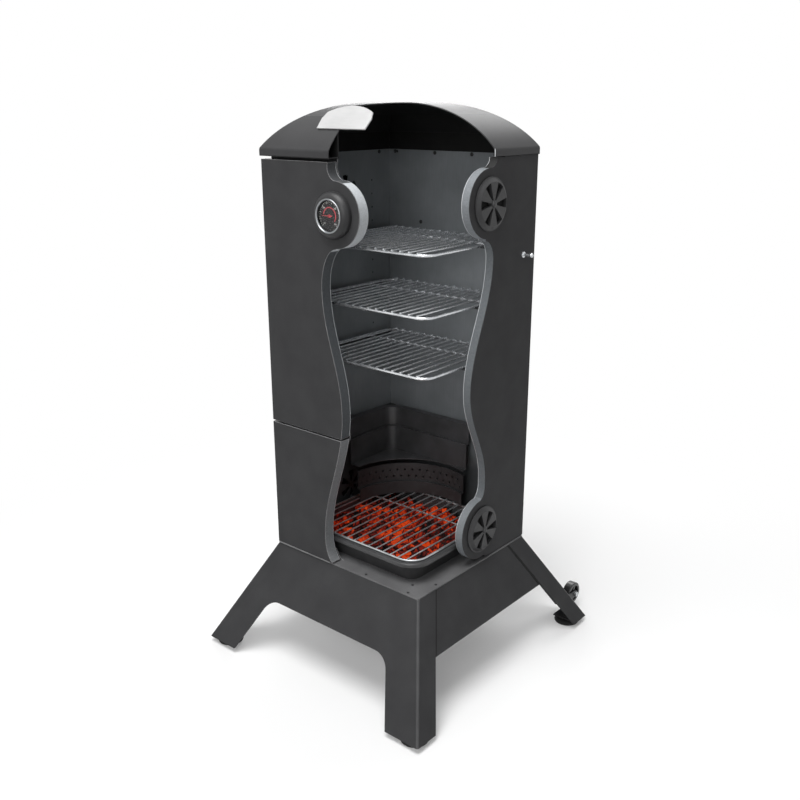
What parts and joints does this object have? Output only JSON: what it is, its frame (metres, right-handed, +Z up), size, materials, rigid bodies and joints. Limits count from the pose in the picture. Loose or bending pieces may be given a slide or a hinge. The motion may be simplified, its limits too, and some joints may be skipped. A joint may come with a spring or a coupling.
{
  "type": "vertical water smoker",
  "caption": "Upright charcoal smoker with hinged doors, vaulted roof, turning dampers, wire racks and splayed legs, its front corner cut away to show the firebox.",
  "frame": {"origin": "on the floor at the middle of the footprint", "axes": "+Z up, doors facing -Y, +X to the right seen from the front"},
  "size_m": [0.65, 0.7248, 1.242],
  "materials": {
    "satin_paint": "satin charcoal grey powder coat",
    "black_enamel": "heat-proof black enamel",
    "rubber": "matt black",
    "insulation": "pale grey pressed fibre board",
    "aluminised_steel": "dull aluminised sheet",
    "rope_seal": "black woven rope",
    "chrome": "bright plate",
    "black_plastic": "fine matt black",
    "badge_steel": "brushed plaque",
    "red_paint": "gloss red",
    "glass": "clear",
    "embers": "glowing lump charcoal"
  },
  "bodies": {
    "cabinet": {"front_leg_panel": "satin_paint", "rear_leg_panel": "satin_paint", "side_aprons": "satin_paint", "base_deck": "satin_paint", "levelling_feet": "rubber", "wheel_brackets": "black_enamel", "axle_bolts": "chrome", "left_side_panel": "satin_paint", "right_side_panel": "satin_paint", "back_panel": "satin_paint", "left_insulation": "insulation", "right_insulation": "insulation", "back_insulation": "insulation", "left_liner": "aluminised_steel", "right_liner": "aluminised_steel", "back_liner": "aluminised_steel", "front_frame": "satin_paint", "rack_rails": "aluminised_steel", "pan_rails": "aluminised_steel", "roof_soffit": "black_enamel", "roof_shell": "satin_paint", "badge_plate": "badge_steel", "body_hinge_leaves": "black_enamel", "hinge_pins": "chrome", "vent_plates": "black_plastic", "damper_rivets": "chrome", "tool_peg": "chrome", "top_rack": "chrome", "middle_rack": "chrome", "bottom_rack": "chrome", "water_pan": "black_enamel", "charcoal_tray": "black_enamel", "charcoal_grate": "chrome", "charcoal": "embers", "charcoal_ring": "black_enamel"},
    "upper_door": {"upper_door_skin": "satin_paint", "upper_door_insulation": "insulation", "upper_door_liner": "aluminised_steel", "upper_door_seal": "rope_seal", "upper_door_hinge_leaves": "black_enamel", "thermometer_housing": "black_plastic", "thermometer_ring": "chrome", "thermometer_dial": "black_enamel", "thermometer_lens": "glass", "thermometer_stem": "chrome"},
    "lower_door": {"lower_door_skin": "satin_paint", "lower_door_insulation": "insulation", "lower_door_liner": "aluminised_steel", "lower_door_seal": "rope_seal", "lower_door_hinge_leaves": "black_enamel"},
    "needle": {"thermometer_needle": "red_paint"},
    "left_lower_damper_disc": {"left_lower_damper": "black_plastic"},
    "left_upper_damper_disc": {"left_upper_damper": "black_plastic"},
    "right_lower_damper_disc": {"right_lower_damper": "black_plastic"},
    "right_upper_damper_disc": {"right_upper_damper": "black_plastic"},
    "left_wheel_body": {"left_wheel": "rubber"},
    "right_wheel_body": {"right_wheel": "rubber"}
  },
  "joints": [
    {"name": "upper_door_hinge", "type": "hinge", "parent": "cabinet", "child": "upper_door", "pos_m": [-0.217, -0.20486, 0.62601], "axis": [0, 0, -1], "range_deg": [0, 130]},
    {"name": "lower_door_hinge", "type": "hinge", "parent": "cabinet", "child": "lower_door", "pos_m": [-0.217, -0.20486, 0.31], "axis": [0, 0, -1], "range_deg": [0, 130]},
    {"name": "needle_pivot", "type": "hinge", "parent": "upper_door", "child": "needle", "pos_m": [0, -0.24486, 1.03], "axis": [0, 1, 0], "range_deg": [-45, 225]},
    {"name": "left_lower_damper_turn", "type": "hinge", "parent": "cabinet", "child": "left_lower_damper_disc", "pos_m": [-0.21, 0.00264, 0.328], "axis": [-1, 0, 0], "range_deg": [0, 30]},
    {"name": "left_upper_damper_turn", "type": "hinge", "parent": "cabinet", "child": "left_upper_damper_disc", "pos_m": [-0.21, 0.00264, 1.047], "axis": [-1, 0, 0], "range_deg": [0, 30]},
    {"name": "right_lower_damper_turn", "type": "hinge", "parent": "cabinet", "child": "right_lower_damper_disc", "pos_m": [0.21, 0.00264, 0.328], "axis": [1, 0, 0], "range_deg": [0, 30]},
    {"name": "right_upper_damper_turn", "type": "hinge", "parent": "cabinet", "child": "right_upper_damper_disc", "pos_m": [0.21, 0.00264, 1.047], "axis": [1, 0, 0], "range_deg": [0, 30]},
    {"name": "left_wheel_spin", "type": "hinge", "parent": "cabinet", "child": "left_wheel_body", "pos_m": [-0.263, 0.33436, 0.04367], "axis": [1, 0, 0], "continuous": true},
    {"name": "right_wheel_spin", "type": "hinge", "parent": "cabinet", "child": "right_wheel_body", "pos_m": [0.263, 0.33436, 0.04367], "axis": [1, 0, 0], "continuous": true}
  ]
}
